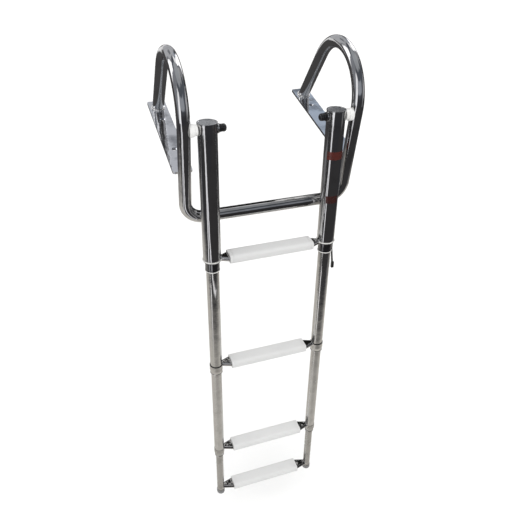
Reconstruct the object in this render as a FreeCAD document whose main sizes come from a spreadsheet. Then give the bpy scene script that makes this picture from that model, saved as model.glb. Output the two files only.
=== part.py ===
import FreeCAD, Part
import math
import os
import Sketcher
from FreeCAD import Placement, Rotation, Vector

# A telescopic boat ladder in polished stainless tube, on a pair of handrail hoops.
# Millimetres. The origin is the middle of the left deck plate's underside, +Z is up,
# +X runs from the left rail to the right one and +Y points inboard, over the deck.

doc = FreeCAD.newDocument("TelescopicBoatLadder")

# Driving sizes, one name each, kept in the sheet
SIZES = {
    # handrail tube and the shape of each hoop
    "rail_diameter": 25.4,
    "rail_wall": 1.6,
    "hoop_radius": 98.0,
    "hoop_rise": 5.0,
    "rail_lean": 4.5,
    "crossbar_drop": 197.5,
    "corner_radius": 38.0,
    "rear_foot_reach": 245.7,
    "pivot_above_plate": 92.8,
    # deck plates
    "plate_length": 268.0,
    "plate_width": 39.6,
    "plate_thickness": 5.0,
    "plate_corner": 4.0,
    "screw_spacing": 114.0,
    "screw_hole": 6.5,
    "screw_head": 11.0,
    "weld_leg": 3.0,
    "weld_crown": 0.4,
    # pivots, and the clear width between each front leg and the tube beside it
    "side_gap": 12.75,
    "pin_diameter": 10.0,
    "pin_clearance": 0.08,
    "spacer_diameter": 25.0,
    "spacer_flange": 6.0,
    "spacer_wrap": 3.0,
    "spacer_edge": 1.0,
    "washer_diameter": 19.0,
    "washer_thickness": 1.6,
    "nut_cap_diameter": 15.0,
    "nut_cap_length": 15.5,
    "nut_cap_flange": 2.4,
    "nut_cap_rib": 0.9,
    "nut_cap_groove": 1.5,
    "nut_cap_belt": 2.6,
    "nut_cap_dome": 5.0,
    "seat_gap": 0.3,
    # ladder tubes, from the outermost to the innermost
    "tube_spacing": 262.0,
    "tube_1_diameter": 38.1,
    "tube_1_wall": 1.5,
    "tube_2_diameter": 28.0,
    "tube_2_wall": 1.2,
    "tube_3_diameter": 25.0,
    "tube_3_wall": 1.2,
    "tube_4_diameter": 19.0,
    "tube_4_wall": 1.2,
    "slide_clearance": 0.3,
    # levels along the ladder
    "cap_above_pivot": 13.6,
    "cap_thickness": 2.4,
    "cap_overhang": 0.6,
    "cap_plug_depth": 3.0,
    "cap_rim_width": 2.6,
    "cap_dish": 0.8,
    "cap_round": 0.7,
    "cap_dimple": 2.4,
    "first_section": 295.7,
    "section_pitch": 296.3,
    "last_step_drop": 162.7,
    "travel": 245.0,
    "last_step_extra": 131.0,
    "stow_margin": 5.1,
    # guide bushes at the top of the widest sliding tubes, and the collar of the narrowest
    "bush_height": 17.0,
    "bush_groove": 0.8,
    "collar_height": 8.0,
    # ferrules
    "ferrule_1_height": 27.0,
    "ferrule_2_height": 23.6,
    "ferrule_3_height": 25.0,
    "ferrule_flange": 0.4,
    "ferrule_flange_height": 3.4,
    "ferrule_bead": 1.5,
    "ferrule_1_wall": 1.2,
    "ferrule_1_lip": 0.6,
    "ferrule_round": 0.5,
    "ferrule_belt": 13.0,
    "ferrule_grip": 8.0,
    "ferrule_2_collar": 1.4,
    "ferrule_3_collar": 0.7,
    "ferrule_lip": 1.4,
    "punch_diameter": 2.2,
    "punch_depth": 0.8,
    "punch_level": 4.4,
    "punch_angle": 32.0,
    # feet
    "foot_cap_height": 12.4,
    "foot_cap_wall": 1.2,
    "foot_cap_round": 3.0,
    "foot_level": 21.2,
    # steps
    "step_below_rim": 1.0,
    "bar_depth": 30.0,
    "bar_height": 10.0,
    "bar_wall": 1.5,
    "bar_shoulder": 2.0,
    "bar_end_depth": 16.0,
    "bar_end_height": 11.0,
    "bar_end_share": 0.85,
    "tread_length": 191.0,
    "tread_depth": 38.0,
    "tread_height": 20.0,
    "tread_corner": 8.0,
    "tread_end_round": 1.5,
    "tread_fit": 0.2,
    # retaining strap on the right ferrule
    "strap_width": 5.0,
    "strap_thickness": 2.4,
    "strap_length": 75.0,
    "strap_slant": 4.5,
    "strap_tab_length": 18.0,
    "strap_tab_thickness": 5.6,
    "strap_round": 0.8,
    "strap_gap": 0.1,
}

sheet = doc.addObject("Spreadsheet::Sheet", "Sizes")
for row, (alias, number) in enumerate(SIZES.items(), start=1):
    sheet.set(f"A{row}", alias)
    sheet.set(f"B{row}", str(number))
    sheet.setAlias(f"B{row}", alias)
doc.recompute()


class Size:
    """A length or angle that also remembers the sheet formula it comes from."""

    def __init__(self, value, text):
        self.value = value
        self.text = text

    def __add__(self, other):
        other = as_size(other)
        return Size(self.value + other.value, f"({self.text} + {other.text})")

    def __sub__(self, other):
        other = as_size(other)
        return Size(self.value - other.value, f"({self.text} - {other.text})")

    def __mul__(self, other):
        other = as_size(other)
        return Size(self.value * other.value, f"({self.text} * {other.text})")

    def __truediv__(self, other):
        other = as_size(other)
        return Size(self.value / other.value, f"({self.text} / {other.text})")

    def __neg__(self):
        return Size(-self.value, f"(0 - {self.text})")

    __radd__ = __add__

    def __rsub__(self, other):
        return as_size(other) - self

    def __rmul__(self, other):
        return as_size(other) * self


def as_size(number):
    return number if isinstance(number, Size) else Size(float(number), repr(float(number)))


def S(alias):
    return Size(SIZES[alias], f"Sizes.{alias}")


def sine(angle):
    return Size(math.sin(math.radians(angle.value)), f"sin({angle.text} * 1 deg)")


def cosine(angle):
    return Size(math.cos(math.radians(angle.value)), f"cos({angle.text} * 1 deg)")


def arc_sine(ratio):
    return Size(math.degrees(math.asin(ratio.value)), f"(asin({ratio.text}) / 1 deg)")


def arc_tangent(rise, run):
    return Size(math.degrees(math.atan2(rise.value, run.value)),
                f"(atan2({rise.text}; {run.text}) / 1 deg)")


def smaller(one, other):
    return Size(min(one.value, other.value), f"min({one.text}; {other.text})")


def root(square):
    return Size(math.sqrt(square.value), f"sqrt({square.text})")


# Where the main points are. The pivot lies on the front leg's axis, and the ladder hangs
# against the crossbar, so its lean follows from the crossbar's place and both tubes.
PIVOT_Z = S("pivot_above_plate") + S("plate_thickness")
LEG_FOOT = S("pivot_above_plate") * sine(S("rail_lean")) / cosine(S("rail_lean"))
LEG_REAR = S("rail_diameter") / 2 / cosine(S("rail_lean")) - LEG_FOOT
PLATE_MIDDLE = LEG_REAR + S("seat_gap") + S("plate_length") / 2
PIVOT_Y = -PLATE_MIDDLE
REST_OFFSET = (S("tube_1_diameter") + S("rail_diameter")) / 2 + S("seat_gap")
LEAN = S("rail_lean") + arc_sine(REST_OFFSET / S("crossbar_drop"))
RAIL_SPACING = (S("tube_spacing") + S("tube_1_diameter") + S("rail_diameter")
                + S("side_gap") * 2)
MIDDLE_X = RAIL_SPACING / 2
PIN_R = S("pin_diameter") / 2
RAIL_R = S("rail_diameter") / 2
TUBE_1_R = S("tube_1_diameter") / 2
TUBE_2_R = S("tube_2_diameter") / 2
TUBE_3_R = S("tube_3_diameter") / 2
TUBE_4_R = S("tube_4_diameter") / 2

# Levels along the ladder, measured from the pivot, down being negative
CAP_TOP = S("cap_above_pivot")
RIM_1 = CAP_TOP - S("first_section")
RIM_2 = RIM_1 - S("section_pitch")
RIM_3 = RIM_2 - S("section_pitch")
STEP_1 = RIM_1 - S("step_below_rim")
STEP_2 = RIM_2 - S("step_below_rim")
STEP_3 = RIM_3 - S("step_below_rim")
STEP_4 = STEP_3 - S("last_step_drop")
FOOT = STEP_4 - S("foot_level")

# A sliding tube reaches this far past the rim that it hangs in. Pushed home, the widest one
# stops just under the pivot pin that crosses the outer tube.
TUBE_OVERLAP = -PIN_R - S("stow_margin") - S("travel") - RIM_1

QUARTER_TURN = 90
FULL_TURN = 360

# Tools that cut right through a piece are this many times as long as its width
CUTTER_REACH = 4

nodes = []


def bind(thing, name, size):
    """Set a property from a size and keep it bound to the sheet."""
    thing.setExpression(name, size.text)


def new_body(label):
    body = doc.addObject("PartDesign::Body", label)
    body.Label = label
    nodes.append(body)
    return body


def place(body, x, y, z, lean=None):
    """Put a body in the part's frame, leaning about X where it belongs to the ladder."""
    angle = lean.value if lean is not None else 0.0
    turn = Rotation(Vector(-1, 0, 0), angle)
    body.Placement = Placement(Vector(x.value, y.value, z.value), turn)
    bind(body, "Placement.Base.x", x)
    bind(body, "Placement.Base.y", y)
    bind(body, "Placement.Base.z", z)
    if lean is not None:
        bind(body, "Placement.Rotation.Angle", lean)


def plane_of(body, role):
    """One of the body's origin planes, by its role."""
    return [item for item in body.Origin.OriginFeatures if item.Role == role][0]


def new_sketch(body, name, role, offset=None):
    """A sketch on one of the body's origin planes, moved along that plane's normal."""
    sketch = body.newObject("Sketcher::SketchObject", f"{body.Name}_{name}")
    sketch.AttachmentSupport = (plane_of(body, role), [""])
    sketch.MapMode = "FlatFace"
    if offset is not None:
        sketch.AttachmentOffset = Placement(Vector(0, 0, offset.value), Rotation())
        bind(sketch, "AttachmentOffset.Base.z", offset)
    return sketch


def constrain(sketch, kind, *picks, size=None):
    """Add one constraint, bound to the sheet when it carries a size."""
    if size is None:
        sketch.addConstraint(Sketcher.Constraint(kind, *picks))
        return
    index = sketch.addConstraint(Sketcher.Constraint(kind, *picks, size.value))
    sketch.setExpression(f"Constraints[{index}]", size.text)


def pin_point(sketch, geometry, point, x, y):
    """Hold a point of a sketch at x, y from the sketch's origin."""
    for kind, size in (("DistanceX", x), ("DistanceY", y)):
        constrain(sketch, kind, -1, 1, geometry, point, size=as_size(size))


def add_circle(sketch, radius, x=None, y=None):
    x = as_size(0.0 if x is None else x)
    y = as_size(0.0 if y is None else y)
    centre = Vector(x.value, y.value, 0)
    circle = sketch.addGeometry(Part.Circle(centre, Vector(0, 0, 1), radius.value), False)
    constrain(sketch, "Radius", circle, size=radius)
    pin_point(sketch, circle, 3, x, y)
    return circle


def add_outline(sketch, points):
    """A closed outline of straight edges through the given points."""
    points = [(as_size(x), as_size(y)) for x, y in points]
    corners = [Vector(x.value, y.value, 0) for x, y in points]
    count = len(corners)
    edges = [Part.LineSegment(corners[i], corners[(i + 1) % count]) for i in range(count)]
    first = sketch.addGeometry(edges, False)[0]
    for i in range(count):
        constrain(sketch, "Coincident", first + i, 2, first + (i + 1) % count, 1)
        pin_point(sketch, first + i, 1, *points[i])


def add_arc(sketch, radius, x, y, start, sweep):
    """A circular arc whose ends lie level with its centre or straight above or below it."""
    circle = Part.Circle(Vector(x.value, y.value, 0), Vector(0, 0, 1), radius.value)
    first = math.radians(start)
    arc = Part.ArcOfCircle(circle, first, first + math.radians(sweep))
    index = sketch.addGeometry(arc, False)
    pin_point(sketch, index, 3, x, y)
    constrain(sketch, "Radius", index, size=radius)
    for end, angle in ((1, start), (2, start + sweep)):
        constrain(sketch, "Vertical" if angle % 180 else "Horizontal", index, end, index, 3)
    return index


def join_arcs(sketch, arcs):
    """Close an outline of arcs with straight edges from each one to the next."""
    for i, arc in enumerate(arcs):
        after = arcs[(i + 1) % len(arcs)]
        start = sketch.getPoint(arc, 2)
        stop = sketch.getPoint(after, 1)
        line = sketch.addGeometry(Part.LineSegment(start, stop), False)
        constrain(sketch, "Coincident", line, 1, arc, 2)
        constrain(sketch, "Coincident", line, 2, after, 1)


def add_rounded_rectangle(sketch, width, height, corner):
    """A rectangle centred on the sketch's origin with its corners rounded."""
    x = width / 2 - corner
    y = height / 2 - corner
    places = [(x, y), (-x, y), (-x, -y), (x, -y)]
    join_arcs(sketch, [add_arc(sketch, corner, *places[i], QUARTER_TURN * i, QUARTER_TURN)
                       for i in range(4)])


def add_oval(sketch, level, depth, height, grow=0.0):
    """A slot with round ends, lying across the ladder at one level."""
    radius = height / 2 + grow
    reach = (depth - height) / 2
    half_turn = QUARTER_TURN * 2
    join_arcs(sketch, [add_arc(sketch, radius, reach, level, -QUARTER_TURN, half_turn),
                       add_arc(sketch, radius, -reach, level, QUARTER_TURN, half_turn)])


def pad(body, sketch, length, downward=False, both_ways=False):
    feature = body.newObject("PartDesign::Pad", f"{sketch.Name}_pad")
    feature.Profile = sketch
    feature.Reversed = downward
    feature.Midplane = both_ways
    bind(feature, "Length", length)
    return feature


def cut_through(body, sketch):
    """Cut a sketch through the whole body, both ways."""
    feature = body.newObject("PartDesign::Pocket", f"{sketch.Name}_cut")
    feature.Profile = sketch
    feature.Type = "ThroughAll"
    feature.Midplane = True
    return feature


def revolve(body, name, points):
    """Turn a closed outline of radius and height about the body's Z axis."""
    sketch = new_sketch(body, name, "XZ_Plane")
    add_outline(sketch, points)
    feature = body.newObject("PartDesign::Revolution", f"{sketch.Name}_turn")
    feature.Profile = sketch
    feature.ReferenceAxis = (sketch, ["V_Axis"])
    feature.Angle = FULL_TURN
    return feature


def cut_cylinder(body, name, radius, length, middle, turn):
    """Cut a cylinder whose middle lies at the given point of the body."""
    tool = body.newObject("PartDesign::SubtractiveCylinder", f"{body.Name}_{name}")
    bind(tool, "Radius", radius)
    bind(tool, "Height", length)
    axis = turn.multVec(Vector(0, 0, 1))
    base = [as_size(value) for value in middle]
    shift = [base[i] - length * (axis[i] / 2) for i in range(3)]
    tool.Placement = Placement(Vector(*[size.value for size in shift]), turn)
    for letter, size in zip("xyz", shift):
        bind(tool, f"Placement.Base.{letter}", size)
    return tool


ALONG_X = Rotation(Vector(0, 1, 0), QUARTER_TURN)
ALONG_Z = Rotation()
CLOSE = 0.001


def ring_at(radius, level):
    """A test for the round edge of that radius at that level on the body's Z axis."""
    def matches(edge):
        curve = edge.Curve
        return (isinstance(curve, Part.Circle) and abs(curve.Radius - radius.value) < CLOSE
                and abs(curve.Center.z - level.value) < CLOSE)
    return matches


def ring_along(radius, reach):
    """A test for the round edge of that radius at that distance along the body's X axis."""
    def matches(edge):
        curve = edge.Curve
        return (isinstance(curve, Part.Circle) and abs(curve.Radius - radius.value) < CLOSE
                and abs(curve.Center.x - reach.value) < CLOSE)
    return matches


def dress_edges(body, kind, name, size, *tests):
    """Round or bevel the edges of the body that pass one of the tests."""
    doc.recompute()
    base = body.Tip
    edges = base.Shape.Edges
    picked = [f"Edge{i + 1}" for i, edge in enumerate(edges) if any(test(edge) for test in tests)]
    if not picked:
        raise RuntimeError(f"{body.Label} has no edge to dress for its {name}")
    feature = body.newObject(kind, f"{body.Name}_{name}")
    feature.Base = (base, picked)
    bind(feature, "Radius" if kind == "PartDesign::Fillet" else "Size", size)
    return feature


def tube_length(body, outer, wall, top, bottom):
    """A straight tube along the body's Z axis from one level down to another."""
    section = new_sketch(body, "section", "XY_Plane", top)
    add_circle(section, outer)
    add_circle(section, outer - wall)
    pad(body, section, top - bottom, downward=True)


# Handrails. Each is one bent tube: a rear leg, the round hoop, a front leg and the corner
# that turns the front leg towards the crossbar.
def foot_tangent():
    """Where the rear leg's line meets the hoop, from the pivot."""
    centre_y, centre_z = hoop_centre()
    from_y = centre_y - S("rear_foot_reach")
    from_z = centre_z + S("pivot_above_plate")
    reach = root(from_y * from_y + from_z * from_z)
    swing = arc_tangent(from_z, from_y) - arc_sine(S("hoop_radius") / reach)
    leg = root(reach * reach - S("hoop_radius") * S("hoop_radius"))
    return (S("rear_foot_reach") + leg * cosine(swing),
            leg * sine(swing) - S("pivot_above_plate"), swing)


def hoop_centre():
    lean = S("rail_lean")
    rise = S("hoop_rise")
    radius = S("hoop_radius")
    return (rise * sine(lean) + radius * cosine(lean), rise * cosine(lean) - radius * sine(lean))


def handrail(label, side):
    body = new_body(label)
    place(body, MIDDLE_X + RAIL_SPACING / 2 * side, PIVOT_Y, PIVOT_Z)
    lean = S("rail_lean")
    centre_y, centre_z = hoop_centre()
    tangent_y, tangent_z, swing = foot_tangent()
    leg_end = S("crossbar_drop") - S("corner_radius")
    below = S("rail_diameter")
    foot_y = S("rear_foot_reach") - below * cosine(swing)
    foot_z = -S("pivot_above_plate") - below * sine(swing)
    front_y = S("hoop_rise") * sine(lean)
    front_z = S("hoop_rise") * cosine(lean)

    path = new_sketch(body, "path", "YZ_Plane")
    points = [(foot_y, foot_z, tangent_y, tangent_z),
              (front_y, front_z, -leg_end * sine(lean), -leg_end * cosine(lean))]
    for start_y, start_z, stop_y, stop_z in points:
        start = Vector(start_y.value, start_z.value, 0)
        stop = Vector(stop_y.value, stop_z.value, 0)
        line = path.addGeometry(Part.LineSegment(start, stop), False)
        pin_point(path, line, 1, start_y, start_z)
        pin_point(path, line, 2, stop_y, stop_z)
    middle = Vector(centre_y.value, centre_z.value, 0)
    hoop = Part.Circle(middle, Vector(0, 0, 1), S("hoop_radius").value)
    first_angle = math.radians(swing.value - QUARTER_TURN)
    last_angle = math.radians(QUARTER_TURN * 2 - lean.value)
    arc = path.addGeometry(Part.ArcOfCircle(hoop, first_angle, last_angle), False)
    constrain(path, "Coincident", arc, 1, 0, 2)
    constrain(path, "Coincident", arc, 2, 1, 1)
    constrain(path, "Radius", arc, size=S("hoop_radius"))

    ring = new_sketch(body, "ring", "XY_Plane")
    end_y = -leg_end * sine(lean)
    end_z = -leg_end * cosine(lean)
    ring.AttachmentOffset = Placement(Vector(0, end_y.value, end_z.value),
                                      Rotation(Vector(-1, 0, 0), lean.value))
    bind(ring, "AttachmentOffset.Base.y", end_y)
    bind(ring, "AttachmentOffset.Base.z", end_z)
    bind(ring, "AttachmentOffset.Rotation.Angle", lean)
    add_circle(ring, RAIL_R)
    add_circle(ring, RAIL_R - S("rail_wall"))
    doc.recompute()
    pipe = body.newObject("PartDesign::AdditivePipe", f"{label}_pipe")
    pipe.Profile = ring
    pipe.Spine = (path, ["Edge2", "Edge3", "Edge1"])

    corner = new_sketch(body, "corner", "XY_Plane")
    corner.AttachmentOffset = ring.AttachmentOffset
    bind(corner, "AttachmentOffset.Base.x", S("corner_radius") * -side)
    bind(corner, "AttachmentOffset.Base.y", end_y)
    bind(corner, "AttachmentOffset.Base.z", end_z)
    bind(corner, "AttachmentOffset.Rotation.Angle", lean)
    add_circle(corner, RAIL_R, S("corner_radius") * side)
    add_circle(corner, RAIL_R - S("rail_wall"), S("corner_radius") * side)
    bend = body.newObject("PartDesign::Revolution", f"{label}_bend")
    bend.Profile = corner
    bend.ReferenceAxis = (corner, ["V_Axis"])
    bend.Angle = QUARTER_TURN
    bend.Reversed = side < 0

    # The rear leg is cut flush with the deck plate, where it is welded on
    room = S("rail_diameter") * CUTTER_REACH
    under = body.newObject("PartDesign::SubtractiveBox", f"{label}_foot_cut")
    bind(under, "Length", room)
    bind(under, "Width", room)
    bind(under, "Height", room)
    base = (-room / 2, S("rear_foot_reach") - room / 2, -S("pivot_above_plate") - room)
    under.Placement = Placement(Vector(*[size.value for size in base]), Rotation())
    for letter, size in zip("xyz", base):
        bind(under, f"Placement.Base.{letter}", size)


def crossbar():
    body = new_body("crossbar")
    drop = S("crossbar_drop")
    lean = S("rail_lean")
    place(body, MIDDLE_X, PIVOT_Y - drop * sine(lean), PIVOT_Z - drop * cosine(lean))
    section = new_sketch(body, "section", "YZ_Plane")
    add_circle(section, RAIL_R)
    add_circle(section, RAIL_R - S("rail_wall"))
    pad(body, section, RAIL_SPACING - S("corner_radius") * 2, both_ways=True)


# Deck plates, each a flat bar with rounded corners and two countersunk screw holes
def deck_plate(label, side):
    body = new_body(label)
    place(body, MIDDLE_X + RAIL_SPACING / 2 * side, as_size(0), as_size(0))
    outline = new_sketch(body, "outline", "XY_Plane")
    add_rounded_rectangle(outline, S("plate_width"), S("plate_length"), S("plate_corner"))
    pad(body, outline, S("plate_thickness"))
    holes = new_sketch(body, "holes", "XY_Plane")
    for end in (-1, 1):
        add_circle(holes, S("screw_hole") / 2, None, S("screw_spacing") / 2 * end)
    cut_through(body, holes)
    dress_edges(body, "PartDesign::Chamfer", "countersinks",
                (S("screw_head") - S("screw_hole")) / 2,
                ring_at(S("screw_hole") / 2, S("plate_thickness")))


# Pivots. A pin is welded to the inside of each front leg, a plastic spacer keeps the
# ladder off the leg, and a washer and a domed cap nut hold the outer tube on the pin.
TUBE_OUTSIDE = (S("tube_spacing") + S("tube_1_diameter")) / 2
TUBE_INSIDE = (S("tube_spacing") - S("tube_1_diameter")) / 2
PIN_END = TUBE_INSIDE - S("seat_gap") - S("washer_thickness") - S("nut_cap_length") / 2


def pivot_disc(label, side, radius, near, far, bore):
    """A round piece on the pivot axis between two distances from the ladder's middle."""
    body = new_body(label)
    place(body, MIDDLE_X, PIVOT_Y, PIVOT_Z)
    section = new_sketch(body, "section", "YZ_Plane", near * side)
    add_circle(section, radius)
    if bore is not None:
        add_circle(section, bore)
    pad(body, section, far - near, downward=side < 0)
    return body


def saddle(body, side, radius):
    """Cope a pivot piece to the front leg that it sits against."""
    turn = Rotation(Vector(-1, 0, 0), S("rail_lean").value)
    tool = body.newObject("PartDesign::SubtractiveCylinder", f"{body.Name}_saddle")
    length = S("spacer_diameter") * CUTTER_REACH
    bind(tool, "Radius", radius)
    bind(tool, "Height", length)
    lean = S("rail_lean")
    base = (RAIL_SPACING / 2 * side, -length / 2 * sine(lean), -length / 2 * cosine(lean))
    tool.Placement = Placement(Vector(*[size.value for size in base]), turn)
    for letter, size in zip("xyz", base):
        bind(tool, f"Placement.Base.{letter}", size)
    bind(tool, "Placement.Rotation.Angle", lean)


def pivot_spacer(label, side):
    """A bush with a flange that saddles the leg and a hub that the top cap swings clear of."""
    bore = PIN_R + S("pin_clearance")
    hub_face = TUBE_OUTSIDE + S("seat_gap")
    leg_face = TUBE_OUTSIDE + S("side_gap")
    flange_face = leg_face - S("spacer_flange")
    body = pivot_disc(label, side, S("spacer_diameter") / 2, flange_face,
                      leg_face + S("spacer_wrap"), bore)
    hub = new_sketch(body, "hub", "YZ_Plane", flange_face * side)
    add_circle(hub, CAP_TOP - S("cap_thickness") - S("seat_gap") * 2)
    add_circle(hub, bore)
    pad(body, hub, flange_face - hub_face, downward=side > 0)
    dress_edges(body, "PartDesign::Fillet", "edges", S("spacer_edge"),
                ring_along(S("spacer_diameter") / 2, flange_face * side))
    saddle(body, side, RAIL_R + S("pin_clearance"))


def pivot_set(name, side):
    pin = pivot_disc(f"{name}_pivot_pin", side, PIN_R, PIN_END, MIDDLE_X, None)
    saddle(pin, side, RAIL_R)
    pivot_spacer(f"{name}_pivot_spacer", side)
    washer_out = TUBE_INSIDE - S("seat_gap")
    washer_in = washer_out - S("washer_thickness")
    pivot_disc(f"{name}_pivot_washer", side, S("washer_diameter") / 2, washer_in, washer_out,
               PIN_R + S("pin_clearance"))
    nut_cap(f"{name}_nut_cap", side, washer_in)


def nut_cap(label, side, seat):
    """A domed cap nut with a flange, a belt between two grooves and a blind bore."""
    body = new_body(label)
    place(body, MIDDLE_X, PIVOT_Y, PIVOT_Z)
    length = S("nut_cap_length")
    radius = S("nut_cap_diameter") / 2
    rib = S("nut_cap_rib")
    waist = radius - rib
    flange = S("nut_cap_flange")
    belt = flange + S("nut_cap_groove")
    belt_end = belt + S("nut_cap_belt")
    dome = belt_end + S("nut_cap_groove")
    bore = PIN_R + S("pin_clearance")
    reach = seat - PIN_END + S("pin_clearance")
    steps = [(bore, 0.0), (radius + rib, 0.0), (radius + rib, flange), (waist, flange),
             (waist, belt), (radius, belt), (radius, belt_end), (waist, belt_end),
             (waist, dome), (radius, dome), (radius, length), (0.0, length),
             (0.0, reach), (bore, reach)]
    sketch = new_sketch(body, "profile", "XY_Plane")
    add_outline(sketch, [((seat - along) * side, across) for across, along in steps])
    feature = body.newObject("PartDesign::Revolution", f"{label}_turn")
    feature.Profile = sketch
    feature.ReferenceAxis = (sketch, ["H_Axis"])
    feature.Angle = FULL_TURN
    dress_edges(body, "PartDesign::Fillet", "dome", S("nut_cap_dome"),
                ring_along(radius, (seat - length) * side))


# Weld bead round the foot of the rear leg, where it stands on its plate
def foot_weld(label, side):
    body = new_body(label)
    place(body, MIDDLE_X + RAIL_SPACING / 2 * side,
          PIVOT_Y + S("rear_foot_reach"), S("plate_thickness"))
    swing = foot_tangent()[2]
    leg = S("weld_leg")
    stretch = RAIL_R / sine(swing) - RAIL_R
    sketches = []
    for name, level, toe in (("toe", as_size(0.0), leg), ("crown", leg, S("weld_crown"))):
        sketch = new_sketch(body, name, "XY_Plane", level)
        shift = level * cosine(swing) / sine(swing)
        sketch.AttachmentOffset = Placement(Vector(0, shift.value, level.value),
                                            Rotation(Vector(0, 0, 1), QUARTER_TURN))
        bind(sketch, "AttachmentOffset.Base.y", shift)
        width = (RAIL_R + toe) * 2
        add_oval(sketch, as_size(0.0), width + stretch * 2, width)
        sketches.append(sketch)
    bead = body.newObject("PartDesign::AdditiveLoft", f"{label}_bead")
    bead.Profile = sketches[0]
    bead.Sections = sketches[1:]
    bead.Ruled = True
    turn = Rotation(Vector(1, 0, 0), swing.value - QUARTER_TURN)
    tool = body.newObject("PartDesign::SubtractiveCylinder", f"{label}_bore")
    length = leg * CUTTER_REACH * 2
    bind(tool, "Radius", RAIL_R)
    bind(tool, "Height", length)
    base = (as_size(0), -length / 2 * cosine(swing), -length / 2 * sine(swing))
    tool.Placement = Placement(Vector(*[size.value for size in base]), turn)
    for letter, size in zip("xyz", base):
        bind(tool, f"Placement.Base.{letter}", size)
    bind(tool, "Placement.Rotation.Angle", swing - QUARTER_TURN)


# Ladder pieces. Each body's own Z axis runs up the tube and its origin is at the pivot.
def place_on_tube(body, side):
    place(body, MIDDLE_X + S("tube_spacing") / 2 * side, PIVOT_Y, PIVOT_Z, LEAN)


def outer_tube(label, side):
    body = new_body(label)
    place_on_tube(body, side)
    tube_length(body, TUBE_1_R, S("tube_1_wall"), CAP_TOP - S("cap_thickness"), RIM_1)
    cut_cylinder(body, "pin_hole", PIN_R + S("pin_clearance"), TUBE_1_R * CUTTER_REACH,
                 (0.0, 0.0, 0.0), ALONG_X)


def top_cap(label, side):
    """A pressed plug, dished inside a raised rim that overhangs the tube a little."""
    body = new_body(label)
    place_on_tube(body, side)
    rim = TUBE_1_R + S("cap_overhang")
    seat = CAP_TOP - S("cap_thickness")
    plug = TUBE_1_R - S("tube_1_wall")
    floor = CAP_TOP - S("cap_dish")
    inside = rim - S("cap_rim_width")
    revolve(body, "profile", [
        (0.0, floor), (inside - S("cap_dish"), floor), (inside, CAP_TOP), (rim, CAP_TOP),
        (rim, seat), (plug, seat), (plug, seat - S("cap_plug_depth")),
        (0.0, seat - S("cap_plug_depth"))])
    dress_edges(body, "PartDesign::Fillet", "rim_round", S("cap_round"), ring_at(rim, CAP_TOP))
    cut_cylinder(body, "dimple", S("cap_dimple") / 2, S("cap_dish"), (0.0, 0.0, floor), ALONG_Z)


def inner_tube(label, side, outer, wall, rim_above, bottom, collar=None):
    """A sliding tube that reaches up past the rim it hangs in, some with an end collar."""
    body = new_body(label)
    place_on_tube(body, side)
    top = rim_above + TUBE_OVERLAP
    tube_length(body, outer, wall, top, bottom)
    if collar is not None:
        ring = new_sketch(body, "collar", "XY_Plane", top)
        add_circle(ring, collar)
        add_circle(ring, outer - wall)
        pad(body, ring, S("collar_height"), downward=True)


def guide_bush(label, side):
    """A grooved plastic sleeve on the top end of tube 2, a sliding fit in the outer tube."""
    body = new_body(label)
    place_on_tube(body, side)
    outer = TUBE_1_R - S("tube_1_wall") - S("slide_clearance")
    groove = S("bush_groove")
    top = RIM_1 + TUBE_OVERLAP
    half = S("bush_height") / 2
    revolve(body, "profile", [
        (TUBE_2_R, top), (outer - groove, top), (outer, top - groove),
        (outer, top - half + groove), (outer - groove, top - half),
        (outer, top - half - groove), (outer, top - half * 2 + groove),
        (outer - groove, top - half * 2), (TUBE_2_R, top - half * 2)])


def spigot_ferrule(label, side):
    """Closes the outer tube: a flange at its end, a spigot inside it and a plain neck."""
    body = new_body(label)
    place_on_tube(body, side)
    bore = TUBE_2_R + S("slide_clearance")
    spigot = TUBE_1_R - S("tube_1_wall")
    flange = TUBE_1_R + S("ferrule_flange")
    neck = bore + S("ferrule_1_wall")
    lip = neck + S("ferrule_1_lip")
    shoulder = RIM_1 - S("ferrule_flange_height")
    end = RIM_1 - S("ferrule_1_height")
    lip_top = end + S("ferrule_lip")
    revolve(body, "profile", [
        (bore, RIM_1 + S("ferrule_grip")), (spigot, RIM_1 + S("ferrule_grip")),
        (spigot, RIM_1), (flange, RIM_1), (flange, shoulder), (neck, shoulder),
        (neck, lip_top), (lip, lip_top), (lip, end), (bore, end)])
    dress_edges(body, "PartDesign::Fillet", "rounds", S("ferrule_round"),
                ring_at(lip, lip_top), ring_at(lip, end))
    dress_edges(body, "PartDesign::Fillet", "bead", S("ferrule_bead"),
                ring_at(flange, RIM_1), ring_at(flange, shoulder))


def socket_ferrule(label, side, rim, height, tube_outer, wall, bore):
    """A ferrule that the tube's end is set into: a plain belt, a taper and an end lip."""
    body = new_body(label)
    place_on_tube(body, side)
    lip = S("ferrule_lip")
    mouth = wall / 2
    collar = tube_outer + wall
    small = bore + lip
    floor = rim - S("ferrule_grip")
    end = rim - height
    revolve(body, "profile", [
        (bore, floor), (tube_outer, floor), (tube_outer, rim - mouth), (tube_outer + mouth, rim),
        (collar, rim), (collar, rim - S("ferrule_belt")), (small, end + lip * 2),
        (small + lip / 2, end + lip), (small, end), (bore, end)])
    return body


def punch_marks(body, rim, collar):
    """Two punch marks on the front of a ferrule, which lock it on its tube."""
    for name, turn in (("punch_left", -S("punch_angle")), ("punch_right", S("punch_angle"))):
        mark = body.newObject("PartDesign::SubtractiveCylinder", f"{body.Name}_{name}")
        depth = S("punch_depth") * 2
        bind(mark, "Radius", S("punch_diameter") / 2)
        bind(mark, "Height", depth)
        reach = collar + S("punch_depth")
        base = (reach * sine(turn), -reach * cosine(turn), rim - S("punch_level"))
        along = Rotation(turn.value, 0, -QUARTER_TURN)
        mark.Placement = Placement(Vector(*[size.value for size in base]), along)
        for letter, size in zip("xyz", base):
            bind(mark, f"Placement.Base.{letter}", size)


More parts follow.
